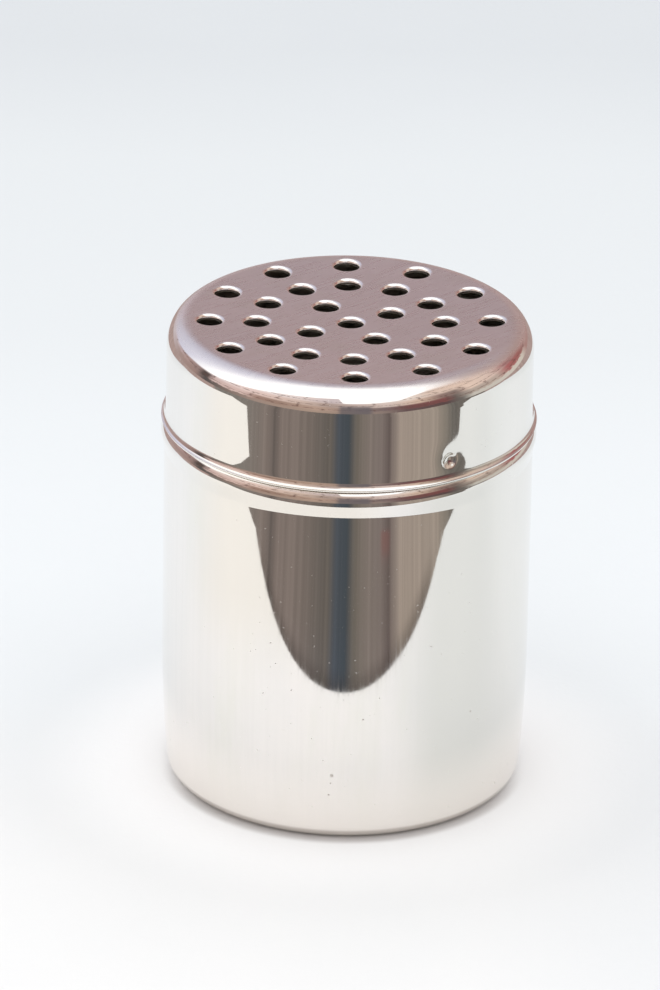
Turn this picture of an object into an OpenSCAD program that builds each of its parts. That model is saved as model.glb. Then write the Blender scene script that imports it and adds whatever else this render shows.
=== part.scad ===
// Spice shaker: a drawn sheet-steel can with a perforated bayonet lid.
// The origin is the middle of the base, +Z is up, sizes are in millimetres.

/* [Size] */
// Overall height with the lid on
total_h = 91; // [86:0.5:100]
// Diameter of the can's straight wall
wall_d = 68.6; // [66:0.2:74]
// Thickness of the drawn sheet
sheet_t = 0.45; // [0.4:0.05:0.6]

/* [Can] */
// Radius of the corner between the base and the wall
base_corner_r = 3; // [2:0.1:4]
// How far the wall draws in towards the base
draw_in = 1.25; // [0.4:0.05:1.6]
// Height over which the wall draws in
draw_in_h = 27; // [20:1:34]
// Radius of the raised panel in the base
base_panel_r = 26; // [18:1:27]
// How high the base panel is raised
base_panel_rise = 0.6; // [0.3:0.1:1]
// Depth of the bead's widest line below the top of the lid
bead_drop = 21.9; // [20:0.1:24]
// How far the bead stands out from the wall
bead_out = 0.55; // [0.3:0.05:0.8]
// Radius of the bead's crown, at its widest line
bead_crown_r = 1.95; // [1.5:0.05:2.4]
// Radius of the bead's upper shoulder
bead_r = 4.5; // [3.8:0.1:4.8]
// Height of the neck above the bead's widest line
neck_h = 15; // [13:0.5:16]

/* [Lid] */
// Diameter of the lid's straight skirt
skirt_d = 68; // [66:0.2:73]
// Depth of the skirt, from the top of the lid to the lip
skirt_h = 19; // [18:0.1:20]
// Radius of the lid's corner where it meets the top
corner_top_r = 4; // [3:0.1:4.5]
// Radius of the lid's corner where it meets the skirt
corner_side_r = 6.2; // [4.5:0.1:7]
// How far the perforated top is dished at its middle
dish = 0.6; // [0.2:0.1:1]
// Radius of the flare above the lip
flare_r = 3; // [2.4:0.1:3.4]

/* [Holes] */
// Diameter of each shaker hole
hole_d = 4.6; // [3:0.1:5.4]
// Distance from one ring of holes to the next
ring_pitch = 8.7; // [7.6:0.1:8.9]
// Holes in each ring, from the middle one outwards
ring_counts = [1, 4, 12, 12];
// Turn of each ring of holes about the axis
ring_turns = [0, 32, 2, 2];
// Depth of the collar that is turned down round each hole
collar_h = 1.1; // [0.8:0.1:1.6]

/* [Bayonet] */
// Direction of the first lug, from +X
lug_turn = -57; // [-90:1:0]
// Number of lugs
lug_count = 2; // [2:1:3]
// Height of the lugs above the lip
lug_h = 3.6; // [3.4:0.1:4.2]
// Depth of the dimple that makes each lug
lug_depth = 0.9; // [0.7:0.1:1]
// Length of the locking arm of each channel, in degrees
lock_arm = 24; // [16:1:36]
// Gap between the lid and the neck
neck_gap = 0.4; // [0.3:0.05:0.6]

/* [Hidden] */
$fn = 128;

wall_r = wall_d / 2;
bead_edge_r = wall_r + bead_out;
bead_z = total_h - bead_drop;
skirt_r = skirt_d / 2;
lip_z = total_h - skirt_h;
neck_r = skirt_r - sheet_t - neck_gap;
neck_top_z = bead_z + neck_h;

// The wall's lower stretch is one long arc that runs into the base corner.
draw_r = (pow(draw_in_h, 2) + pow(draw_in, 2)) / (2 * draw_in);
draw_angle = -asin((draw_in_h - base_corner_r) / (draw_r - base_corner_r));
foot_r = wall_r - draw_r + (draw_r - base_corner_r) * cos(draw_angle);

// The panel in the base steps up through two equal bends.
step_r = 1.2;
step_angle = acos(1 - base_panel_rise / (2 * step_r));
step_foot_r = base_panel_r + 2 * step_r * sin(step_angle);

// Below the bead the wall turns out, climbs a short slope and turns up again.
slope_angle = 12.5;
turn_out_r = 2.2;
slope_run = bead_out - (turn_out_r + bead_crown_r) * (1 - cos(slope_angle));
slope_z = bead_z - (turn_out_r + bead_crown_r) * sin(slope_angle) - slope_run / tan(slope_angle);

// The bead's crown runs into its shoulder, which leans in and turns up into the neck.
crown_angle = 12;
shoulder_angle = 47;
crown_c = [bead_edge_r - bead_crown_r, bead_z];
shoulder_c = on_circle(crown_c, bead_crown_r - bead_r, crown_angle);
shoulder_end = on_circle(shoulder_c, bead_r, shoulder_angle);
neck_turn_r = (shoulder_end[0] - neck_r) / (1 - cos(shoulder_angle));
neck_z = shoulder_end[1] + neck_turn_r * sin(shoulder_angle);

// The flare starts with a gentle bend and ends with a tighter one at the lip.
flare_angle = 43;
soft_angle = 8;
soft_r = 12;
soft_out = soft_r * (1 - cos(soft_angle));
flare_z = lip_z + flare_r * (sin(flare_angle) - sin(soft_angle));
skirt_z = flare_z + soft_r * sin(soft_angle);

// The lid's corner is two arcs that meet at one angle.
corner_angle = 35;
corner_w = corner_top_r * cos(corner_angle) + corner_side_r * (1 - cos(corner_angle));
corner_h = corner_top_r * (1 - sin(corner_angle)) + corner_side_r * sin(corner_angle);
crest_r = skirt_r - corner_w;

// Each lug is a spherical dimple pressed in from outside.
lug_ball_r = 2.2;
lug_ball_x = skirt_r + lug_ball_r - lug_depth;
lug_z = lip_z + lug_h;
lug_reach = sqrt(pow(lug_ball_r + sheet_t, 2) - pow(lug_ball_x - neck_r, 2));
channel_gap = 0.35;
channel_r = skirt_r - lug_depth - sheet_t - channel_gap;
channel_half = lug_reach + channel_gap;

function on_circle(c, r, a) = [c[0] + r * cos(a), c[1] + r * sin(a)];

// A bend of the sheet: c is its centre, r the radius of the outer face, a0 and
// a1 the directions that the outer face looks in, off how far the drawn face
// stands out from the outer one. An outward bend bulges, an inward one hollows.
function outward(c, r, a0, a1, off, n = 8) =
    [for (i = [0:n]) on_circle(c, r + off, a0 + (a1 - a0) * i / n)];
function inward(c, r, a0, a1, off, n = 8) =
    [for (i = [0:n]) on_circle(c, off - r, a0 + (a1 - a0) * i / n)];

function backwards(list) = [for (i = [len(list) - 1:-1:0]) list[i]];

// One face of the can, from the middle of the base to the rim of the neck.
function can_face(off) = concat(
    [[0, base_panel_rise - off]],
    inward([base_panel_r, base_panel_rise - step_r], step_r, -90, -90 - step_angle, off, 5),
    outward([step_foot_r, step_r], step_r, -90 - step_angle, -90, off, 5),
    outward([foot_r, base_corner_r], base_corner_r, -90, draw_angle, off),
    outward([wall_r - draw_r, draw_in_h], draw_r, draw_angle, 0, off),
    inward([wall_r + turn_out_r, slope_z], turn_out_r, 0, -slope_angle, off, 4),
    outward(crown_c, bead_crown_r, -slope_angle, crown_angle, off, 4),
    outward(shoulder_c, bead_r, crown_angle, shoulder_angle, off),
    inward([neck_r + neck_turn_r, neck_z], neck_turn_r, shoulder_angle, 0, off),
    [[neck_r + off, neck_top_z]]
);

// One face of the lid, from the lip to the middle of the top.
function lid_face(off) = concat(
    inward([skirt_r + soft_out + flare_r * cos(soft_angle), flare_z + flare_r * sin(soft_angle)],
        flare_r, flare_angle, soft_angle, off),
    inward([skirt_r + soft_r, skirt_z], soft_r, soft_angle, 0, off, 3),
    outward([skirt_r - corner_side_r, total_h - corner_h], corner_side_r, 0, corner_angle, off),
    outward([crest_r, total_h - corner_top_r], corner_top_r, corner_angle, 90, off),
    [for (i = [1:6]) let (r = crest_r * (1 - i / 6)) [r, dish_z(r) + off]]
);

// Height of the lid's dished top at a distance r from the axis.
function dish_z(r) = total_h - dish * (1 - pow(r / crest_r, 2));

// A part turned from sheet, between its outer face and its inner one.
module sheet_shell(outer_face, inner_face) {
    rotate_extrude()
        polygon(concat(outer_face, backwards(inner_face)));
}

// A bar that runs out along the direction of the first channel's entry.
module entry_bar(half, inner_r, outer_r) {
    translate([inner_r, -half, lug_z - half])
        cube([outer_r - inner_r, 2 * half, neck_top_z - lug_z + half + 1]);
}

// The arm that the lug turns along to lock, at the foot of the entry.
module lock_bar(half, inner_r, outer_r) {
    translate([0, 0, lug_z - half])
        rotate([0, 0, -lock_arm])
            rotate_extrude(angle = lock_arm)
                translate([inner_r, 0])
                    square([outer_r - inner_r, 2 * half]);
}

// Everything that stands at each lug, turned round the axis.
module at_each_lug() {
    for (i = [0:lug_count - 1])
        rotate([0, 0, lug_turn + i * 360 / lug_count])
            children();
}

// A ring of the can's neck.
module neck_ring(inner_r, outer_r) {
    translate([0, 0, neck_z])
        difference() {
            cylinder(h = neck_top_z - neck_z, r = outer_r);
            translate([0, 0, -1])
                cylinder(h = neck_top_z - neck_z + 2, r = inner_r);
        }
}

module channels(half, inner_r, outer_r) {
    at_each_lug() {
        entry_bar(half, inner_r, outer_r);
        lock_bar(half, inner_r, outer_r);
    }
}

// Can: base, wall, bead and neck in one piece, with a channel for each lug.
module can() {
    color("silver") {
        difference() {
            sheet_shell(can_face(0), can_face(-sheet_t));
            channels(channel_half, neck_r - sheet_t - 1, neck_r + 1);
        }
        intersection() {
            neck_ring(channel_r - sheet_t, neck_r);
            difference() {
                channels(channel_half + sheet_t, channel_r - sheet_t, neck_r + 1);
                channels(channel_half, channel_r, neck_r + 2);
            }
        }
    }
}

// Where each shaker hole stands, seen from above.
hole_spots = [
    for (ring = [0:len(ring_counts) - 1])
        for (i = [0:ring_counts[ring] - 1])
            let (a = ring_turns[ring] + i * 360 / ring_counts[ring])
                [ring * ring_pitch, a]
];

module at_each_hole() {
    for (spot = hole_spots)
        rotate([0, 0, spot[1]])
            translate([spot[0], 0, dish_z(spot[0])])
                children();
}

// The collar of sheet that is turned down round a hole.
module collar() {
    translate([0, 0, -collar_h])
        cylinder(h = collar_h - sheet_t / 2, d = hole_d + 2 * sheet_t, $fn = 48);
}

// The opening of a hole, with its softened mouth.
module opening() {
    mouth = 0.55;
    translate([0, 0, -collar_h - 1])
        cylinder(h = collar_h + 2, d = hole_d, $fn = 48);
    translate([0, 0, -mouth])
        cylinder(h = 2 * mouth, d1 = hole_d, d2 = hole_d + 4 * mouth, $fn = 48);
}

module lug_ball(r) {
    at_each_lug()
        translate([lug_ball_x, 0, lug_z])
            sphere(r = r, $fn = 64);
}

// Lid: perforated top, skirt, flared lip and pressed-in lugs in one piece.
module lid() {
    color("gainsboro")
        difference() {
            union() {
                sheet_shell(lid_face(0), lid_face(-sheet_t));
                at_each_hole() collar();
                intersection() {
                    lug_ball(lug_ball_r + sheet_t);
                    translate([0, 0, lip_z])
                        cylinder(h = skirt_h / 2, r = skirt_r - sheet_t / 2);
                }
            }
            at_each_hole() opening();
            lug_ball(lug_ball_r);
        }
}

can();
lid();
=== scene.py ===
"""Polished steel spice shaker: a drawn can and a perforated lid, made as smooth sheet-metal shells."""

import math

import bpy
from mathutils import Matrix, Vector
from mathutils.geometry import delaunay_2d_cdt


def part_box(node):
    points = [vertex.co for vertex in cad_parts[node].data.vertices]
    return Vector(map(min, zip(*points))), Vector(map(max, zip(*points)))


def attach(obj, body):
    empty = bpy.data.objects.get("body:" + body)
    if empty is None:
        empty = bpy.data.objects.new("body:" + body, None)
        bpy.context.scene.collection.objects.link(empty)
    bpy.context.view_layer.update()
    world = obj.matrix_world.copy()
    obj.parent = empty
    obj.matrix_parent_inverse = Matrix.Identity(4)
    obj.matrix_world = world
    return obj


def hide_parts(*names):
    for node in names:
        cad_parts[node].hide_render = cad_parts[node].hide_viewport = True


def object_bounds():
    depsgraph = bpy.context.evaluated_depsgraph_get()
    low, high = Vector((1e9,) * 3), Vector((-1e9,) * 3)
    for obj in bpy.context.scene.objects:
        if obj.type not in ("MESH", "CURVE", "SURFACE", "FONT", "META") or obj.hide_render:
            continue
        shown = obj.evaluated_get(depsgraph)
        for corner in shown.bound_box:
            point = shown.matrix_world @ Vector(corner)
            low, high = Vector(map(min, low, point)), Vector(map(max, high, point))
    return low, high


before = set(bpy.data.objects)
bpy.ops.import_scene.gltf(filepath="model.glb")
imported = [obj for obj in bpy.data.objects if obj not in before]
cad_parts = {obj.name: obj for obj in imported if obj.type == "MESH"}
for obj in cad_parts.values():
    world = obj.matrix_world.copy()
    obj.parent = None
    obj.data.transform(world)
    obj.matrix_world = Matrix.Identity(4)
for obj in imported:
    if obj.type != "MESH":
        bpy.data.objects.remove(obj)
cad_low, cad_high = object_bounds()
can_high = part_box("can")[1]

MM = 0.001  # the shells are worked out in millimetres and stored in metres

# ---------------------------------------------------------------- sizes, as in the CAD part
total_h = cad_high.z / MM
neck_top_z = can_high.z / MM
sheet_t = 0.45
wall_r = 34.3
skirt_r = 34.0
base_corner_r = 3.0
draw_in = 1.25
draw_in_h = 27.0
base_panel_r = 26.0
base_panel_rise = 0.6
step_r = 1.2
bead_r = 4.5
bead_crown_r = 1.95
bead_edge_r = wall_r + 0.55
bead_z = total_h - 21.9
turn_out_r = 2.2
slope_angle = 12.5
crown_angle = 12.0
shoulder_angle = 47.0
neck_r = skirt_r - sheet_t - 0.4
lip_z = total_h - 19.0
corner_top_r = 4.0
corner_side_r = 6.2
corner_angle = 35.0
dish = 0.6
hole_r = 2.3
mouth_r = 0.72
collar_h = 1.1
ring_pitch = 8.7
ring_counts = (1, 4, 12, 12)
ring_turns = (0.0, 32.0, 2.0, 2.0)
lug_turn = -57.0
lug_count = 2
lug_depth = 0.9
lug_z = lip_z + 3.6
channel_depth = 0.85
channel_half = 1.9
lock_arm = 24.0

# ---------------------------------------------------------------- finer shapes than the CAD part holds
cut_r = 0.11  # rounding of the sheet's cut edges
flare_r = 2.55  # the flare, and the tighter curl that ends it
flare_angle = 30.0
curl_r = 0.8
curl_angle = 70.0
soft_r = 12.0  # two gentle bends lead from the skirt into the flare
soft_angle = 8.0
easy_r = 26.0
easy_angle = 4.0
lean_r = 170.0  # the wall leans in a little under the bead
lean_angle = 1.3
pull_depth = 0.28  # the skirt is pulled in softly round each of its dimples
pull_reach = 6.0
pull_aside = 0.3  # middle of that pull, past the dimple's own middle
pull_up = 0.5
lug_ball_r = 2.2
lug_fillet = 0.25
channel_soft = 0.45  # half the width of a channel's sloping side
entry_over = 4.0  # how far a channel's entry is drawn past the neck's rim

# ---------------------------------------------------------------- how fine the meshes are
can_turns = (0.6, 1.8)  # degrees between points round the can, at its channels and elsewhere
lid_turns = (0.35, 1.4)  # the same round the lid, at its dimples and elsewhere
channel_past = 5.0  # degrees that the fine stretch goes on past a channel
dimple_past = 9.0  # the same, to each side of a dimple's middle
neck_step = 0.3  # between points up the neck
skirt_steps = (0.2, 0.5)  # between points up the skirt, outside and inside
hole_steps = 36
plate_pitch = 1.25
slope_gap = 0.02  # half the distance over which a slope is measured


def cosd(a):
    return math.cos(math.radians(a))


def sind(a):
    return math.sin(math.radians(a))


def soft_step(low, high, x):
    """0 below low, 1 above high, and a smooth S between them."""
    t = min(1.0, max(0.0, (x - low) / (high - low)))
    return t * t * t * (t * (6 * t - 15) + 10)


# ---------------------------------------------------------------- profiles of the sheet
# A profile is a list of (distance from the axis, height, direction that the face looks in).
def bend(centre, radius, a0, a1, step=4.0):
    """A round stretch with a point each few degrees. A negative radius hollows."""
    n = max(1, math.ceil(abs(a1 - a0) / step))
    angles = [a0 + (a1 - a0) * i / n for i in range(n + 1)]
    return [(centre[0] + radius * cosd(a), centre[1] + radius * sind(a), a) for a in angles]


def far_face(points):
    """A face walked back the other way and looking the other way, as the back of the sheet."""
    return [(r, z, a + 180) for r, z, a in reversed(points)]


def cut_edge(r, z, a, turn=90):
    """The sheet's raw edge, from the end of a face that looks along a to the face behind it."""
    b = a + turn
    near = (r - cut_r * (cosd(a) + cosd(b)), z - cut_r * (sind(a) + sind(b)))
    deep = sheet_t - cut_r
    far = (r - deep * cosd(a) - cut_r * cosd(b), z - deep * sind(a) - cut_r * sind(b))
    return bend(near, cut_r, a, b, 30) + bend(far, cut_r, b, b + turn, 30)


def finer(points, low, high, step):
    """The same profile, with more points between two heights."""
    out = [points[0]]
    for (r0, z0, a0), (r1, z1, a1) in zip(points, points[1:]):
        n = 1
        if min(z0, z1) < high and max(z0, z1) > low:
            n = max(1, math.ceil(math.hypot(r1 - r0, z1 - z0) / step))
        for i in range(1, n + 1):
            out.append((r0 + (r1 - r0) * i / n, z0 + (z1 - z0) * i / n, a0 + (a1 - a0) * i / n))
    return out


def without_doubles(points):
    """The same profile, with one point where two stretches meet."""
    out = [points[0]]
    for point in points[1:]:
        if math.dist(point[:2], out[-1][:2]) > 1e-4:
            out.append(point)
    return out


def can_face(off):
    """One face of the can, from the middle of the base to just under the neck's rim."""
    draw_r = (draw_in_h**2 + draw_in**2) / (2 * draw_in)
    draw_angle = -math.degrees(math.asin((draw_in_h - base_corner_r) / (draw_r - base_corner_r)))
    foot_r = wall_r - draw_r + (draw_r - base_corner_r) * cosd(draw_angle)
    step_angle = math.degrees(math.acos(1 - base_panel_rise / (2 * step_r)))
    step_foot_r = base_panel_r + 2 * step_r * sind(step_angle)
    lean_end_r = wall_r - lean_r * (1 - cosd(lean_angle))
    turned_out = turn_out_r * (cosd(lean_angle) - cosd(slope_angle))
    turned_out += bead_crown_r * (1 - cosd(slope_angle))
    slope_run = bead_edge_r - lean_end_r - turned_out
    slope_rise = slope_run / math.tan(math.radians(slope_angle))
    slope_foot_z = bead_z - bead_crown_r * sind(slope_angle) - slope_rise
    turn_z = slope_foot_z - turn_out_r * sind(slope_angle)
    lean_z = turn_z - (turn_out_r + lean_r) * sind(lean_angle)
    crown_r = bead_edge_r - bead_crown_r
    shoulder_r = crown_r + (bead_crown_r - bead_r) * cosd(crown_angle)
    shoulder_z = bead_z + (bead_crown_r - bead_r) * sind(crown_angle)
    neck_turn_r = (shoulder_r + bead_r * cosd(shoulder_angle) - neck_r) / (1 - cosd(shoulder_angle))
    neck_z = shoulder_z + (bead_r + neck_turn_r) * sind(shoulder_angle)
    turn_x = lean_end_r + turn_out_r * cosd(lean_angle)
    return (
        [(r, base_panel_rise - off, -90) for r in (8, 16, 22)]
        + bend((base_panel_r, base_panel_rise - step_r), off - step_r, -90, -90 - step_angle)
        + bend((step_foot_r, step_r), step_r + off, -90 - step_angle, -90)
        + bend((foot_r, base_corner_r), base_corner_r + off, -90, draw_angle, 3)
        + bend((wall_r - draw_r, draw_in_h), draw_r + off, draw_angle, 0, 0.5)
        + bend((wall_r - lean_r, lean_z), lean_r + off, 0, lean_angle, 0.15)
        + bend((turn_x, turn_z), off - turn_out_r, lean_angle, -slope_angle, 2)
        + bend((crown_r, bead_z), bead_crown_r + off, -slope_angle, crown_angle, 2)
        + bend((shoulder_r, shoulder_z), bead_r + off, crown_angle, shoulder_angle, 2)
        + bend((neck_r + neck_turn_r, neck_z), off - neck_turn_r, shoulder_angle, 0, 3)
    )


def lid_face(off, coarse=1):
    """One face of the lid, from the lip to the edge of the perforated plate."""
    corner_w = corner_top_r * cosd(corner_angle) + corner_side_r * (1 - cosd(corner_angle))
    corner_h = corner_top_r * (1 - sind(corner_angle)) + corner_side_r * sind(corner_angle)
    soft_out = soft_r * (cosd(easy_angle) - cosd(soft_angle)) + easy_r * (1 - cosd(easy_angle))
    curl_z = lip_z + curl_r * sind(curl_angle)
    flare_z = curl_z + (flare_r - curl_r) * sind(flare_angle)
    soft_z = flare_z + (soft_r - flare_r) * sind(soft_angle)
    skirt_z = soft_z + (easy_r - soft_r) * sind(easy_angle)
    soft_x = skirt_r + easy_r - (easy_r - soft_r) * cosd(easy_angle)
    flare_x = skirt_r + soft_out + flare_r * cosd(soft_angle)
    curl_x = flare_x - (flare_r - curl_r) * cosd(flare_angle)
    side_spot = (skirt_r - corner_side_r, total_h - corner_h)
    top_spot = (skirt_r - corner_w, total_h - corner_top_r)
    return (
        bend((curl_x, curl_z), off - curl_r, curl_angle, flare_angle, 4 * coarse)
        + bend((flare_x, flare_z), off - flare_r, flare_angle, soft_angle, 3 * coarse)
        + bend((soft_x, soft_z), off - soft_r, soft_angle, easy_angle, coarse)
        + bend((skirt_r + easy_r, skirt_z), off - easy_r, easy_angle, 0, coarse)
        + bend(side_spot, corner_side_r + off, 0, corner_angle, 2 * coarse)
        + bend(top_spot, corner_top_r + off, corner_angle, plate_angle, 2 * coarse)
    )


# The plate starts where the corner has turned just past level, and sinks from there to its middle.
crest_r = skirt_r - corner_top_r * cosd(corner_angle) - corner_side_r * (1 - cosd(corner_angle))
plate_angle = 90 + math.degrees(2 * dish / crest_r)
plate_r = crest_r + corner_top_r * cosd(plate_angle)
plate_edge_z = total_h - corner_top_r * (1 - sind(plate_angle))


def plate_z(r):
    return plate_edge_z - dish * (1 - (r / plate_r) ** 2)


def plate_tilt(x, y):
    """How far the plate's normal leans for each millimetre of height, along x and y."""
    slope = 2 * dish / plate_r**2
    return -slope * x, -slope * y


# ---------------------------------------------------------------- what is pressed into the sheet
def lug_places():
    return [lug_turn + i * 360 / lug_count for i in range(lug_count)]


def beside(angle, place):
    """The angle past a place, from -180 to 180."""
    return (angle - place + 180) % 360 - 180


def dimple_depth(angle, z):
    """How far the skirt is pressed in by its lugs."""
    depth = 0.0
    for place in lug_places():
        along = math.radians(beside(angle, place)) * skirt_r
        away = min(math.hypot(along, z - lug_z), lug_ball_r)
        ball = math.sqrt(lug_ball_r**2 - away**2) - lug_ball_r + lug_depth - pull_depth
        if ball > lug_fillet:
            depth += ball
        elif ball > -lug_fillet:
            depth += (ball + lug_fillet) ** 2 / (4 * lug_fillet)
        pull = max(0.0, 1 - math.hypot(along - pull_aside, z - lug_z - pull_up) / pull_reach)
        depth += pull_depth * pull**3
    return depth


def box_distance(x, y, half_x, half_y):
    """Distance to a rectangle about the origin, negative inside it."""
    dx, dy = abs(x) - half_x, abs(y) - half_y
    return math.hypot(max(dx, 0), max(dy, 0)) + min(max(dx, dy), 0)


def channel_depth_at(angle, z):
    """How far the neck is pressed in by its bayonet channels."""
    tall = neck_top_z - lug_z + channel_half + entry_over
    arm = math.radians(lock_arm) * neck_r
    depth = 0.0
    for place in lug_places():
        u = math.radians(beside(angle, place)) * neck_r
        entry = box_distance(u, z - (lug_z - channel_half + tall / 2), channel_half, tall / 2)
        side = box_distance(u + arm / 2, z - lug_z, arm / 2, channel_half)
        depth += channel_depth * (1 - soft_step(-channel_soft, channel_soft, min(entry, side)))
    return depth


# ---------------------------------------------------------------- mesh building
class Shell:
    """A closed mesh that keeps the true surface direction at each of its points."""

    def __init__(self):
        self.points = []
        self.normals = []
        self.faces = []
        self.inside = 0.0
        self.insides = []

    def add(self, x, y, z, normal):
        self.points.append((x * MM, y * MM, z * MM))
        self.normals.append(Vector(normal).normalized())
        self.insides.append(self.inside)
        return len(self.points) - 1

    def ring(self, profile_point, angles, depth_at=None):
        """One turn of a profile point about the axis, pressed in by depth_at."""
        r, z, a = profile_point
        out = []
        for t in angles:
            c, s = cosd(t), sind(t)
            depth = depth_at(t, z) if depth_at else 0.0
            normal = (cosd(a) * c, cosd(a) * s, sind(a))
            if depth_at and abs(cosd(a)) > 0.3:
                turn = math.degrees(slope_gap / r)
                along = (depth_at(t + turn, z) - depth_at(t - turn, z)) / (2 * slope_gap)
                up = (depth_at(t, z + slope_gap) - depth_at(t, z - slope_gap)) / (2 * slope_gap)
                up += sind(a) / cosd(a)
                side = math.copysign(1, cosd(a))
                normal = (side * (c - along * s), side * (s + along * c), side * up)
            out.append(self.add((r - depth) * c, (r - depth) * s, z, normal))
        return out

    def band(self, first, second):
        """Faces between two rings of the same length."""
        n = len(first)
        for j in range(n):
            k = (j + 1) % n
            self.faces.append((first[j], first[k], second[k], second[j]))

    def bands(self, rings):
        for first, second in zip(rings, rings[1:]):
            self.band(first, second)

    def fan(self, ring, z, look):
        """Closes a ring with one point on the axis."""
        middle = self.add(0, 0, z, (0, 0, look))
        n = len(ring)
        for j in range(n):
            pair = (ring[(j + 1) % n], ring[j])
            self.faces.append((middle, *pair) if look < 0 else (middle, *reversed(pair)))

    def build(self, name):
        mesh = bpy.data.meshes.new(name)
        mesh.from_pydata(self.points, [], self.faces)
        mesh.polygons.foreach_set("use_smooth", [True] * len(self.faces))
        mesh.attributes.new("inside", "FLOAT", "POINT").data.foreach_set("value", self.insides)
        mesh.update()
        mesh.normals_split_custom_set_from_vertices(self.normals)
        piece = bpy.data.objects.new(name, mesh)
        bpy.context.scene.collection.objects.link(piece)
        return piece


def turns(spans, fine, coarse):
    """Angles round the axis, close together inside the spans and wider apart between them."""
    out = []
    for i, (start, end) in enumerate(spans):
        following = spans[(i + 1) % len(spans)][0] + (360 if i + 1 == len(spans) else 0)
        for low, high, step in ((start, end, fine), (end, following, coarse)):
            n = math.ceil((high - low) / step)
            out += [low + (high - low) * k / n for k in range(n)]
    return out


def make_can():
    spans = [(place - lock_arm - channel_past, place + channel_past) for place in lug_places()]
    angles = turns(spans, *can_turns)
    rim = cut_edge(neck_r, neck_top_z, 0)
    outer = without_doubles(can_face(0) + rim)
    profile = without_doubles(outer + far_face(can_face(-sheet_t)))
    profile = finer(profile, lug_z - channel_half - 1, neck_top_z + 1, neck_step)
    rim_end = profile.index(outer[-1])
    shell = Shell()
    rings = []
    for i, point in enumerate(profile):
        shell.inside = 1.0 if i > rim_end else 0.0
        pressed = point[1] > lug_z - channel_half - 0.6
        rings.append(shell.ring(point, angles, channel_depth_at if pressed else None))
    shell.bands(rings)
    shell.fan(rings[-1], profile[-1][1], 1)
    shell.inside = 0.0
    shell.fan(rings[0], profile[0][1], -1)
    return shell.build("can_shell")


def hole_places():
    out = []
    for ring, (count, turn) in enumerate(zip(ring_counts, ring_turns)):
        for i in range(count):
            a = turn + i * 360 / count
            out.append((ring * ring_pitch * cosd(a), ring * ring_pitch * sind(a)))
    return out


def hole_profile():
    """From the plate's top, down through the hole's collar, round its raw edge and up to the underside."""
    outer_r = hole_r + mouth_r
    return without_doubles(
        bend((outer_r, -mouth_r), mouth_r, 90, 180, 10)
        + cut_edge(hole_r, -collar_h, 180)
        + bend((outer_r, -mouth_r), sheet_t - mouth_r, 0, -90, 30)
    )


def add_hole(shell, x0, y0):
    """The wall of one hole; gives its ring on the plate's top and its ring on the underside."""
    rings = []
    for r, h, a in hole_profile():
        shell.inside = 1.0 if h < -0.98 * mouth_r or r > hole_r + sheet_t and h < -sheet_t / 2 else 0.0
        ring = []
        for j in range(hole_steps):
            c, s = cosd(j * 360 / hole_steps), sind(j * 360 / hole_steps)
            x, y = x0 + r * c, y0 + r * s
            lean_x, lean_y = plate_tilt(x, y)
            normal = (cosd(a) * c + sind(a) * lean_x, cosd(a) * s + sind(a) * lean_y, sind(a))
            ring.append(shell.add(x, y, plate_z(math.hypot(x, y)) + h, normal))
        rings.append(ring)
    shell.bands(rings)
    return rings[0], rings[-1]


def plate_filling():
    """A triangle lattice of points on the plate, clear of its edge and of every hole."""
    spots = hole_places()
    out = []
    row_pitch = plate_pitch * sind(60)
    rows = math.ceil(plate_r / row_pitch)
    for i in range(-rows, rows + 1):
        for j in range(-rows, rows + 1):
            x, y = (j + i % 2 / 2) * plate_pitch, i * row_pitch
            clear = all(math.hypot(x - a, y - b) > hole_r + mouth_r + 0.45 for a, b in spots)
            if clear and math.hypot(x, y) < plate_r - 0.5:
                out.append((x, y))
    return out


def add_plate(shell, top_edge, under_edge):
    """The perforated plate between its edge rings, as triangles between the holes."""
    holes = [add_hole(shell, x, y) for x, y in hole_places()]
    top = list(top_edge)
    under = list(under_edge)
    loops = [range(len(top_edge))]
    for upper, lower in holes:
        loops.append(range(len(top), len(top) + len(upper)))
        top += upper
        under += lower
    for x, y in plate_filling():
        lean_x, lean_y = plate_tilt(x, y)
        z = plate_z(math.hypot(x, y))
        shell.inside = 0.0
        top.append(shell.add(x, y, z, (lean_x, lean_y, 1)))
        shell.inside = 1.0
        under.append(shell.add(x, y, z - sheet_t, (-lean_x, -lean_y, -1)))
    flat = [Vector(shell.points[i][:2]) / MM for i in top]
    edges = [(loop[i], loop[(i + 1) % len(loop)]) for loop in loops for i in range(len(loop))]
    owner = {i: n for n, loop in enumerate(loops) if n for i in loop}
    found = delaunay_2d_cdt(flat, edges, [], 0, 1e-6)
    for face in found[2]:
        a, b, c = (found[3][v][0] for v in face)
        if a in owner and owner[a] == owner.get(b) == owner.get(c):
            continue
        if (flat[b] - flat[a]).cross(flat[c] - flat[a]) < 0:
            b, c = c, b
        shell.faces.append((top[a], top[b], top[c]))
        shell.faces.append((under[a], under[c], under[b]))


def make_lid():
    spans = [(place - dimple_past, place + dimple_past) for place in lug_places()]
    angles = turns(spans, *lid_turns)
    pressed_low, pressed_high = lip_z + 1.0, lug_z + 7.0
    outer = without_doubles(lid_face(0))
    inner = without_doubles(far_face(lid_face(-sheet_t, 2)))
    outer = finer(outer, pressed_low, pressed_high, skirt_steps[0])
    inner = finer(inner, pressed_low, pressed_high, skirt_steps[1])
    lip = cut_edge(*inner[-1])
    shell = Shell()
    rings = []
    for i, point in enumerate(without_doubles(inner[:-1] + lip + outer[1:])):
        shell.inside = 1.0 if i < len(inner) - 1 else 0.0
        pressed = pressed_low < point[1] < pressed_high
        rings.append(shell.ring(point, angles, dimple_depth if pressed else None))
    shell.bands(rings)
    add_plate(shell, rings[-1], rings[0])
    return shell.build("lid_shell")


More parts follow.
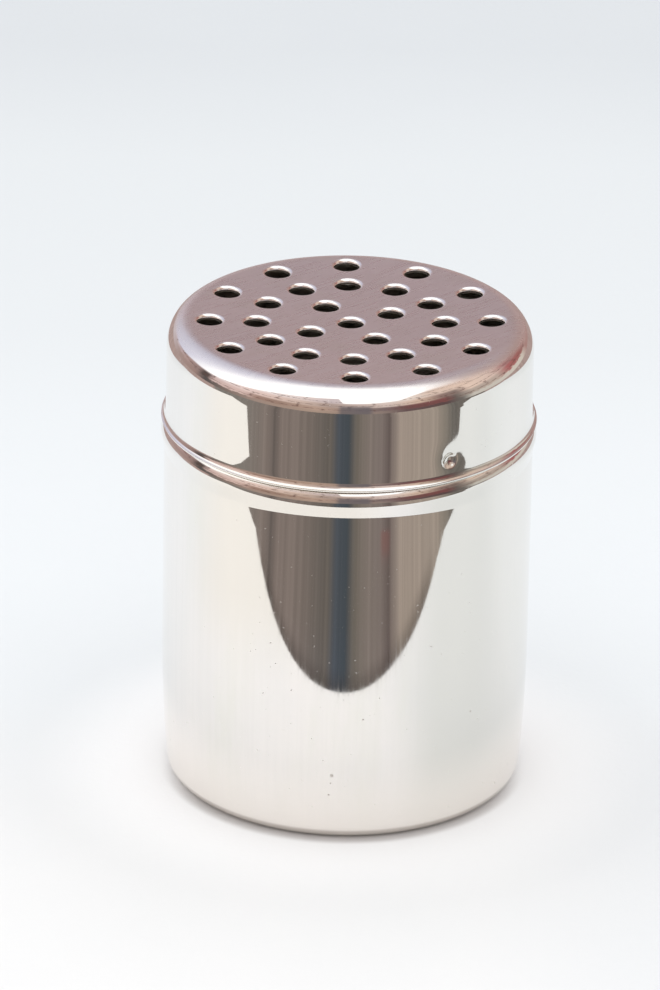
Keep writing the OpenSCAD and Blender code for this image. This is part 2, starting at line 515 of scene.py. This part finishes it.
# ---------------------------------------------------------------- materials
class Nodes:
    """A short way to add nodes to a material."""

    def __init__(self, name):
        self.material = bpy.data.materials.new(name)
        self.material.use_nodes = True
        self.tree = self.material.node_tree
        self.tree.nodes.clear()

    def add(self, kind, inputs=None, **settings):
        made = self.tree.nodes.new("ShaderNode" + kind)
        for key, value in settings.items():
            setattr(made, key, value)
        for key, value in (inputs or {}).items():
            self.put(value, made.inputs[key])
        return made

    def put(self, value, socket):
        if isinstance(value, bpy.types.NodeSocket):
            self.tree.links.new(value, socket)
        else:
            socket.default_value = value

    def math(self, operation, a, b=0.0, clamp=False):
        made = self.add("Math", operation=operation, use_clamp=clamp)
        self.put(a, made.inputs[0])
        self.put(b, made.inputs[1])
        return made.outputs[0]

    def remap(self, value, low, high, to_low, to_high, smooth=True):
        """Takes low..high to to_low..to_high, held at both ends."""
        kind = "SMOOTHSTEP" if smooth else "LINEAR"
        made = self.add("MapRange", interpolation_type=kind)
        keys = ("Value", "From Min", "From Max", "To Min", "To Max")
        for key, number in zip(keys, (value, low, high, to_low, to_high)):
            self.put(number, made.inputs[key])
        return made.outputs["Result"]

    def place(self, scale=(1, 1, 1), turn=0.0):
        """Where a point is on the piece, stretched by scale and turned about the axis."""
        spot = self.add("TexCoord").outputs["Object"]
        sizes = [1 / waves for waves in scale]
        turned = {"Vector": spot, "Scale": sizes, "Rotation": (0, 0, math.radians(turn))}
        return self.add("Mapping", turned, vector_type="TEXTURE").outputs[0]

    def noise(self, scale, detail=2.0, roughness=0.5, turn=0.0):
        """Noise with so many waves to the metre along each axis."""
        spot = self.place(scale, turn)
        settings = {"Vector": spot, "Scale": 1.0, "Detail": detail, "Roughness": roughness}
        return self.add("TexNoise", settings).outputs["Fac"]

    def mix(self, fac, a, b):
        made = self.add("Mix", data_type="RGBA")
        self.put(fac, made.inputs["Factor"])
        self.put(a, made.inputs["A"])
        self.put(b, made.inputs["B"])
        return made.outputs["Result"]

    def bump(self, height, distance, below=None):
        made = self.add("Bump", {"Height": height, "Distance": distance, "Strength": 1.0})
        if below is not None:
            self.put(below, made.inputs["Normal"])
        return made.outputs[0]

    def surface(self, shader):
        self.tree.links.new(shader, self.add("OutputMaterial").inputs["Surface"])
        return self.material


def spot_on(n):
    """The point's own x, y and z on the piece, as sockets in metres."""
    return n.add("SeparateXYZ", {"Vector": n.add("TexCoord").outputs["Object"]}).outputs


def between(n, value, rise, fall, top=1.0):
    """0 outside, and top from the end of the rise to the start of the fall."""
    return n.math("MULTIPLY", n.remap(value, *rise, 0, top), n.remap(value, *fall, 1, 0))


def far_from_axis(n):
    """Distance from the axis, in millimetres."""
    spot = spot_on(n)
    squares = n.math("ADD", n.math("POWER", spot["X"], 2), n.math("POWER", spot["Y"], 2))
    return n.math("MULTIPLY", n.math("POWER", squares, 0.5), 1 / MM)


cloud_waves = (45, 45, 30)  # waves to the metre along each axis
line_waves = (2600, 2600, 45)
top_fade = (0.0865, 0.089)  # heights over which the skirt's painted reflection and shade tints end at the lid's corner


def steel_colour_with_painted_reflection(n, inside):
    """Warm pale steel with clouds of a thin film and faint upright drawing lines, duller inside.

    Painted reflection and shade tint it as well: warmer on the left of the front and near the foot, and
    greyer on the right of the front, standing in for the surroundings and shaded floor that the steel
    mirrors there.
    """
    cloud = n.remap(n.noise(cloud_waves, 4, 0.6), 0.3, 0.75, 0, 1)
    drawn = n.remap(n.noise((1100, 1100, 9), 4, 0.7), 0.35, 0.7, 0, 0.3)
    film = n.remap(n.noise((110, 110, 22), 5, 0.7), 0.45, 0.75, 0, 0.8)
    colour = n.mix(cloud, (0.94, 0.90, 0.865, 1), (0.895, 0.87, 0.845, 1))
    colour = n.mix(film, colour, (0.875, 0.86, 0.795, 1))
    colour = n.mix(drawn, colour, (0.85, 0.82, 0.785, 1))
    spot = spot_on(n)
    # Painted shade: below the lid's corner, the right of the front is greyed, standing in for the darker
    # surroundings that the steel mirrors on that side.
    below_top = n.remap(spot["Z"], *top_fade, 1, 0)
    past_middle = n.remap(spot["X"], 0.008, 0.018, 0, 1)
    aside = n.math("MULTIPLY", past_middle, n.remap(spot["X"], 0.023, 0.032, 1, 0.5))
    right_shade = n.math("MULTIPLY", aside, below_top)
    colour = n.mix(right_shade, colour, (0.785, 0.775, 0.73, 1))
    # Painted reflection: a warm tint on the left of the front, from above the foot up to the lid's corner,
    # standing in for warm surroundings mirrored there.
    left = between(n, spot["X"], (-0.031, -0.022), (-0.002, 0.010), 0.8)
    above_foot = n.remap(spot["Z"], 0.03, 0.05, 0, 1)
    upper = n.math("SUBTRACT", above_foot, n.remap(spot["Z"], *top_fade, 0, 1))
    colour = n.mix(n.math("MULTIPLY", left, upper), colour, (0.865, 0.815, 0.735, 1))
    # Painted reflection of shade: warmer and darker towards the foot, where the steel mirrors the shaded
    # floor round the can.
    foot = n.remap(spot["Z"], 0.002, 0.019, 0.8, 0)
    colour = n.mix(foot, colour, (0.83, 0.785, 0.735, 1))
    dull = n.mix(cloud, (0.68, 0.64, 0.58, 1), (0.58, 0.54, 0.48, 1))
    return n.mix(inside, colour, dull)


def mirror_roughness(n):
    """Drawing lines, smudges and dust specks of a polished sheet."""
    lines = n.remap(n.noise(line_waves, 3, 0.6), 0.3, 0.8, 0.03, 0.07)
    smudge = n.remap(n.noise(cloud_waves, 4, 0.6), 0.5, 0.75, 0.0, 0.05)
    specks = n.remap(n.noise((1500, 1500, 1500), 1), 0.74, 0.80, 0, 0.3)
    return n.math("ADD", n.math("ADD", lines, smudge), specks)


def dried_spots(n, places):
    """1 inside the spots, given as (x, z, radius) in millimetres on the front of the wall."""
    spot = spot_on(n)
    front = n.math("LESS_THAN", spot["Y"], 0.0)
    ragged = n.remap(n.noise((3000, 3000, 3000), 2), 0.2, 0.8, -0.12, 0.12, False)
    out = 0.0
    for x, z, radius in places:
        along = n.math("MULTIPLY", n.math("SUBTRACT", spot["X"], x * MM), 1 / MM)
        up = n.math("MULTIPLY", n.math("SUBTRACT", spot["Z"], z * MM), 1 / MM)
        squares = n.math("ADD", n.math("MULTIPLY", along, along), n.math("MULTIPLY", up, up))
        away = n.math("POWER", squares, 0.5)
        out = n.math("MAXIMUM", out, n.remap(n.math("ADD", away, ragged), radius * 0.5, radius, 1, 0))
    return n.math("MULTIPLY", out, front)


def steel(n, colour, rough, normal):
    look = {"Base Color": colour, "Metallic": 1.0, "Roughness": rough, "Normal": normal}
    return n.surface(n.add("BsdfPrincipled", look).outputs[0])


water_spots = (
    (-2.0, 13.8, 0.45), (-2.2, 12.2, 0.2), (-2.5, 9.7, 0.26), (3.6, 25.5, 0.2), (23.5, 23.2, 0.2),
)
wave_depth = 12e-6  # how far the polished sheet waves, in metres
line_depth = 0.5e-6
brush_depth = 1.5e-6


def sheet_waves(n):
    return n.bump(n.noise((60, 60, 25), 1), wave_depth)


def polished_steel(name):
    """Mirror-polished outside, with a few dried water spots low on its front, and a duller inside."""
    n = Nodes(name)
    inside = n.add("Attribute", attribute_name="inside").outputs["Fac"]
    spots = dried_spots(n, water_spots)
    colour = n.mix(spots, steel_colour_with_painted_reflection(n, inside), (0.60, 0.56, 0.52, 1))
    dull = n.math("MULTIPLY", n.math("MAXIMUM", spots, inside), 0.35)
    rough = n.math("ADD", mirror_roughness(n), dull)
    grain = n.bump(n.noise(line_waves, 3, 0.6), line_depth, sheet_waves(n))
    return steel(n, colour, rough, grain)


def lid_steel(name):
    """Mirror-polished skirt and hole mouths, a finely brushed satin top and a dull inside."""
    n = Nodes(name)
    inside = n.add("Attribute", attribute_name="inside").outputs["Fac"]
    level = n.add("SeparateXYZ", {"Vector": n.add("TexCoord").outputs["Normal"]}).outputs["Z"]
    away = far_from_axis(n)
    level = n.math("ADD", level, n.remap(away, 29.8, 31.2, 0, 0.17))
    within = n.remap(away, 33.2, 33.5, 1, 0)
    brushed_top = n.math("MULTIPLY", n.remap(level, 0.80, 0.98, 0, 1), within)
    satin = n.math("MAXIMUM", brushed_top, inside)
    brushed = n.noise((150, 2600, 150), 3, 0.6, turn=40)
    matt = n.remap(brushed, 0.25, 0.8, 0.26, 0.34)
    matt = n.math("ADD", matt, n.math("MULTIPLY", inside, 0.15))
    blended = n.add("Mix", data_type="FLOAT")
    n.put(satin, blended.inputs["Factor"])
    n.put(mirror_roughness(n), blended.inputs["A"])
    n.put(matt, blended.inputs["B"])
    grain = n.bump(n.math("MULTIPLY", brushed, satin), brush_depth, sheet_waves(n))
    return steel(n, steel_colour_with_painted_reflection(n, inside), blended.outputs["Result"], grain)


# ---------------------------------------------------------------- studio
# The table's front edge, as the shaker's wall and skirt mirror it.
table_edge = (
    (-0.5, -0.15), (-0.19, -0.103), (-0.165, -0.0997), (-0.03, -0.098), (0.05, -0.0983),
    (0.12, -0.094), (0.19, -0.080), (0.24, -0.085), (0.35, -0.125), (0.9, -0.2),
)
table_back = 0.27
sky_tone = (0.975, 0.985, 1.0)
sky_strength = 1.35
floor_reach = 4.0
ring_reach = 2.0  # the buildings, as a ring round the shaker
ring_height = 4.2
ring_steps = 72


def flat_piece(name, points, faces, material):
    mesh = bpy.data.meshes.new(name)
    mesh.from_pydata([Vector(point) for point in points], [], faces)
    mesh.update()
    mesh.materials.append(material)
    piece = bpy.data.objects.new(name, mesh)
    bpy.context.scene.collection.objects.link(piece)
    return piece


def only_in_reflections(piece):
    piece.visible_camera = False
    piece.visible_diffuse = False
    piece.visible_transmission = False
    piece.visible_volume_scatter = False
    piece.visible_shadow = False


def ramp(n, value, low, high, stops):
    """Colours along a value that runs from low to high, given as (value, colour)."""
    made = n.add("ValToRGB", {"Fac": n.remap(value, low, high, 0, 1, False)})
    elements = made.color_ramp.elements
    while len(elements) < len(stops):
        elements.new(0.5)
    for element, (place, colour) in zip(elements, stops):
        element.position = (place - low) / (high - low)
        element.color = (*colour, 1)
    return made.outputs["Color"]


def bearing(n):
    """Direction from the shaker in degrees, 0 to the front and positive to the right."""
    spot = spot_on(n)
    front = n.math("MULTIPLY", spot["Y"], -1.0)
    return n.math("MULTIPLY", n.math("ARCTAN2", spot["X"], front), 180 / math.pi)


paint_grain = 0.00004  # how deep the paint's grain is, in metres


def floor_paint_and_light():
    """Pale paint with painted light and shade: a painted falloff that is whitest to the front, a painted
    pool of light round the shaker against its own shade, a painted shadow to its right front, and a warm
    painted contact shadow where the can stands.
    """
    n = Nodes("floor_paint_and_light")
    spot = spot_on(n)
    # Painted light falloff: the floor is whitest to the front and darkens away towards the back.
    stops = (
        (-0.10, (0.795, 0.788, 0.778)), (-0.05, (0.800, 0.794, 0.785)),
        (-0.02, (0.772, 0.772, 0.768)), (0.03, (0.742, 0.760, 0.770)),
        (0.08, (0.735, 0.754, 0.765)), (0.12, (0.718, 0.736, 0.746)),
        (0.20, (0.664, 0.682, 0.692)), (0.30, (0.640, 0.658, 0.667)),
        (0.37, (0.587, 0.605, 0.620)),
    )
    tone = ramp(n, spot["Y"], -0.1, 0.4, stops)
    mottle = n.remap(n.noise((9, 9, 9), 5, 0.6), 0.35, 0.7, 0, 0.12)
    mottled_and_shaded = n.mix(mottle, tone, (0.66, 0.68, 0.69, 1))
    # Painted shadow: the floor is darker to the right front of the shaker.
    right = n.remap(spot["X"], 0.02, 0.06, 0, 0.35)
    right = n.math("MULTIPLY", right, n.remap(spot["Y"], -0.01, 0.03, 1, 0))
    mottled_and_shaded = n.mix(right, mottled_and_shaded, (0.66, 0.68, 0.70, 1))
    # Painted light: the floor is lightened round the shaker, more on its left, against the shade that the
    # shaker throws on it.
    away = far_from_axis(n)
    left = n.remap(spot["X"], -0.03, 0.05, 0.66, 0.5)
    near = n.math("MULTIPLY", n.remap(away, 36, 62, 1, 0), left)
    lit = n.mix(near, mottled_and_shaded, (0.99, 0.98, 0.97, 1))
    # Painted contact shadow: a warm dark ring where the can stands, mostly at its front.
    contact_shadow = n.remap(away, 33.0, 35.0, 0.6, 0.0)
    contact_shadow = n.math("MULTIPLY", contact_shadow, n.remap(spot["Y"], -0.022, 0.0, 1, 0.1))
    contact_shaded = n.mix(contact_shadow, lit, (0.44, 0.40, 0.38, 1))
    grain = n.bump(n.noise((900, 900, 900), 3), paint_grain)
    shader = n.add("BsdfPrincipled", {"Base Color": contact_shaded, "Roughness": 0.9, "Normal": grain})
    return n.surface(shader.outputs[0])


def glow(n, colour, strength=1.0):
    shader = n.add("Emission", {"Color": colour, "Strength": strength})
    material = n.surface(shader.outputs[0])
    material.cycles.emission_sampling = "NONE"
    return material


def streaked_shade():
    """Dark ground beyond the table, with soft streaks that run away from the shaker."""
    n = Nodes("streaked_shade")
    way_stops = (
        (-66, (0.24, 0.225, 0.215)), (-48, (0.243, 0.206, 0.195)), (-43.5, (0.150, 0.130, 0.126)),
        (-40, (0.235, 0.198, 0.188)), (-30, (0.243, 0.206, 0.195)), (-22, (0.197, 0.170, 0.160)),
        (-14, (0.157, 0.142, 0.135)), (-10, (0.155, 0.140, 0.130)), (-6, (0.085, 0.100, 0.125)),
        (0, (0.068, 0.084, 0.103)), (2.5, (0.120, 0.116, 0.115)), (5, (0.179, 0.161, 0.144)),
        (12, (0.240, 0.205, 0.190)), (18, (0.225, 0.190, 0.178)), (23.5, (0.150, 0.120, 0.113)),
        (26, (0.24, 0.20, 0.18)), (30, (0.38, 0.32, 0.275)), (52, (0.41, 0.345, 0.30)),
        (57, (0.31, 0.27, 0.235)), (63, (0.186, 0.170, 0.157)), (90, (0.186, 0.150, 0.140)),
    )
    way = bearing(n)
    spot = spot_on(n)
    tone = ramp(n, way, -90, 90, way_stops)
    red = between(n, way, (18, 20), (23, 25))
    red = n.math("MULTIPLY", red, between(n, far_from_axis(n), (158, 166), (178, 184), 0.6))
    tone = n.mix(red, tone, (0.24, 0.12, 0.11, 1))
    # Painted shadow: the ground is darkened just beyond the table's front edge, as under the table's lip.
    in_front = n.remap(n.math("ABSOLUTE", spot["X"]), 0.09, 0.13, 1, 0)
    under_edge = n.math("MULTIPLY", n.remap(spot["Y"], -0.112, -0.098, 0, 0.55), in_front)
    tone = n.mix(under_edge, tone, (0.05, 0.04, 0.035, 1))
    tone = n.mix(n.remap(spot["Y"], -0.06, 0.0, 0, 1), tone, (0.44, 0.33, 0.31, 1))
    across = n.add("CombineXYZ", {"X": n.math("MULTIPLY", way, 0.45)})
    streaks = {"Vector": across.outputs[0], "Scale": 1.0, "Detail": 5.0, "Roughness": 0.7}
    fine = n.add("TexNoise", streaks).outputs["Fac"]
    return glow(n, tone, n.remap(fine, 0.3, 0.7, 0.84, 1.16))


def surroundings():
    """What stands round the table: pink buildings in front, mauve ones behind, pale sky over them.

    Each list of stops gives colours by bearing, for one band of the height in degrees.
    """
    n = Nodes("surroundings")
    way = bearing(n)
    slope = n.math("DIVIDE", spot_on(n)["Z"], ring_reach)
    rise = n.math("MULTIPLY", n.math("ARCTANGENT", slope), 180 / math.pi)
    foot_stops = (
        (-180, (0.44, 0.35, 0.35)), (-150, (0.62, 0.55, 0.58)), (-130, (0.42, 0.31, 0.29)),
        (-108, (0.36, 0.25, 0.23)), (-98, (0.10, 0.09, 0.09)), (-86, (0.20, 0.16, 0.15)),
        (-60, (0.38, 0.29, 0.26)), (-20, (0.45, 0.34, 0.29)), (20, (0.28, 0.22, 0.20)),
        (34, (0.15, 0.10, 0.10)), (60, (0.13, 0.08, 0.08)), (72, (0.19, 0.17, 0.16)),
        (80, (0.66, 0.62, 0.57)), (132, (0.66, 0.60, 0.54)), (142, (0.42, 0.25, 0.23)),
        (180, (0.44, 0.35, 0.35)),
    )
    low_stops = (
        (-180, (0.52, 0.40, 0.41)), (-168, (0.54, 0.43, 0.46)), (-150, (0.68, 0.62, 0.70)),
        (-122, (0.48, 0.34, 0.32)), (-106, (0.32, 0.23, 0.22)), (-102, (0.10, 0.08, 0.075)),
        (-97, (0.12, 0.09, 0.085)), (-92, (0.68, 0.52, 0.50)), (-68, (0.74, 0.56, 0.53)),
        (-58, (0.40, 0.27, 0.23)), (-46, (0.36, 0.25, 0.21)), (-20, (0.52, 0.38, 0.32)),
        (20, (0.22, 0.17, 0.17)), (36, (0.19, 0.09, 0.09)), (60, (0.24, 0.09, 0.09)),
        (68, (0.17, 0.14, 0.13)), (80, (0.50, 0.42, 0.37)), (104, (0.54, 0.43, 0.38)),
        (116, (0.42, 0.15, 0.15)), (134, (0.36, 0.15, 0.14)), (146, (0.49, 0.34, 0.32)),
        (180, (0.52, 0.40, 0.41)),
    )
    middle_stops = (
        (-180, (0.35, 0.25, 0.255)), (-166, (0.39, 0.30, 0.32)), (-150, (0.68, 0.62, 0.70)),
        (-90, (0.84, 0.72, 0.71)), (-60, (0.84, 0.66, 0.62)), (-30, (0.66, 0.52, 0.46)),
        (-12, (0.46, 0.36, 0.33)), (24, (0.72, 0.60, 0.56)), (44, (0.70, 0.52, 0.42)),
        (60, (0.30, 0.20, 0.18)), (72, (0.26, 0.20, 0.18)), (82, (0.84, 0.66, 0.56)),
        (104, (0.72, 0.56, 0.50)), (120, (0.40, 0.20, 0.20)), (140, (0.46, 0.32, 0.30)),
        (180, (0.35, 0.25, 0.255)),
    )
    high_stops = (
        (-180, (0.46, 0.40, 0.46)), (-150, (0.62, 0.58, 0.70)), (-60, (0.94, 0.86, 0.86)),
        (-28, (0.80, 0.68, 0.66)), (-12, (0.66, 0.57, 0.59)), (40, (0.86, 0.76, 0.70)),
        (60, (0.76, 0.60, 0.52)), (84, (0.80, 0.62, 0.52)), (112, (0.78, 0.62, 0.56)),
        (128, (0.42, 0.31, 0.31)), (146, (0.42, 0.34, 0.36)), (180, (0.46, 0.40, 0.46)),
    )
    sky_stops = (
        (-180, (0.50, 0.49, 0.57)), (-150, (0.60, 0.59, 0.71)), (-125, (0.76, 0.76, 0.89)),
        (-96, (1.32, 1.33, 1.35)), (112, (1.32, 1.33, 1.35)), (130, (0.62, 0.61, 0.70)),
        (180, (0.50, 0.49, 0.57)),
    )
    roofs = (
        (-180, 60), (-168, 52), (-156, 14), (-138, 11), (-116, 18), (-90, 23),
        (-70, 31), (-50, 41), (-30, 46), (-8, 50), (-4, 34), (14, 34),
        (34, 37), (50, 48), (70, 56), (110, 61), (140, 63), (180, 60),
    )
    foot, low, middle, high, sky = (
        ramp(n, way, -180, 180, stops)
        for stops in (foot_stops, low_stops, middle_stops, high_stops, sky_stops)
    )
    roof_stops = [(a, (top / 100,) * 3) for a, top in roofs]
    sky_line = n.math("MULTIPLY", ramp(n, way, -180, 180, roof_stops), 100)
    tone = n.mix(n.remap(rise, 17, 23, 0, 1), low, middle)
    tone = n.mix(n.remap(rise, 29, 37, 0, 1), tone, high)
    around = n.math("MULTIPLY", way, 0.016)
    spread = n.add("CombineXYZ", {"X": around, "Y": n.math("MULTIPLY", rise, 0.02)}).outputs[0]
    joints = {"Vector": spread, "Scale": 1.0, "Mortar Size": 0.03, "Mortar Smooth": 0.9}
    bricks = n.add("TexBrick", joints).outputs["Fac"]
    rough = {"Vector": spread, "Scale": 16.0, "Detail": 4.0, "Roughness": 0.7}
    jagged = n.add("TexNoise", rough).outputs["Fac"]
    broken = n.math("MULTIPLY", bricks, n.remap(jagged, 0.46, 0.54, 0.0, 0.85))
    lined = n.mix(broken, tone, (0.14, 0.08, 0.07, 1))
    above_foot = n.math("SUBTRACT", rise, n.remap(jagged, 0.3, 0.7, 5.0, 11.0, False))
    stood = n.mix(n.remap(above_foot, -1.0, 1.0, 1, 0), lined, foot)
    post = between(n, way, (-8, -4), (11, 16), 0.75)
    post = n.math("MULTIPLY", post, n.remap(rise, 20, 30, 1, 0))
    stood = n.mix(post, stood, (0.13, 0.125, 0.15, 1))
    under_sky = n.math("SUBTRACT", sky_line, rise)
    return glow(n, n.mix(n.remap(under_sky, -2.0, 2.0, 1, 0), stood, sky))


def make_studio():
    """The table, the floor round it that reflections leave out, and what only reflections show."""
    paint = floor_paint_and_light()
    reach = floor_reach
    edge = [(x, y, 0.0) for x, y in table_edge]
    back = [(edge[-1][0], table_back, 0.0), (edge[0][0], table_back, 0.0)]
    outer = [(-reach, -reach, 0.0), (reach, -reach, 0.0), (reach, reach, 0.0), (-reach, reach, 0.0)]
    flat_piece("table", edge + back, [range(len(edge) + 2)], paint)
    n = len(edge)
    faces = [
        (*reversed(range(n)), n + 2, n + 3),
        (n - 1, n + 3, n + 4, n),
        (n, n + 4, n + 5, n + 1),
        (n + 1, n + 5, n + 2, 0),
    ]
    beyond = flat_piece("floor_beyond", edge + back + outer, faces, paint)
    beyond.visible_glossy = False
    shade = flat_piece("shade", [(x, y, -MM) for x, y, _ in outer], [range(4)], streaked_shade())
    only_in_reflections(shade)
    n = ring_steps
    angles = [i * 360 / n for i in range(n)]
    turned = [(ring_reach * sind(a), -ring_reach * cosd(a)) for a in angles]
    points = [(x, y, -MM) for x, y in turned] + [(x, y, ring_height) for x, y in turned]
    faces = [(i, n + i, n + (i + 1) % n, (i + 1) % n) for i in range(n)]
    only_in_reflections(flat_piece("surroundings", points, faces, surroundings()))


def make_sky():
    world = bpy.data.worlds.new("sky")
    world.use_nodes = True
    background = world.node_tree.nodes["Background"]
    background.inputs["Color"].default_value = (*sky_tone, 1)
    background.inputs["Strength"].default_value = sky_strength
    bpy.context.scene.world = world


camera_aim = (-3.25, 0.0, 55.3)  # in millimetres
camera_distance = 1.4913
camera_elevation = 24.544
camera_roll = -1.05
camera_lens = 290.9
camera_sensor = 36.0


def make_camera():
    """A long lens, a little above the shaker and in front of it."""
    aim = Vector(camera_aim) * MM
    forward = Vector((0, cosd(camera_elevation), -sind(camera_elevation)))
    right = Vector((1, 0, 0))
    up = right.cross(forward)
    turned_right = right * cosd(camera_roll) - up * sind(camera_roll)
    turned_up = right * sind(camera_roll) + up * cosd(camera_roll)
    axes = Matrix((turned_right, turned_up, -forward)).transposed()
    data = bpy.data.cameras.new("camera")
    data.lens = camera_lens
    data.sensor_width = camera_sensor
    camera = bpy.data.objects.new("camera", data)
    camera.matrix_world = Matrix.Translation(aim - forward * camera_distance) @ axes.to_4x4()
    bpy.context.scene.collection.objects.link(camera)
    bpy.context.scene.camera = camera


make_camera()
make_sky()
make_studio()
bpy.context.scene.view_settings.view_transform = "Standard"

for make, body, slot, material in (
    (make_can, "can", "can_steel", polished_steel("polished_steel")),
    (make_lid, "lid", "lid_steel", lid_steel("satin_and_polished_steel")),
):
    shell = make()
    shell.data.materials.append(material)
    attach(shell, body)
    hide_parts(body)
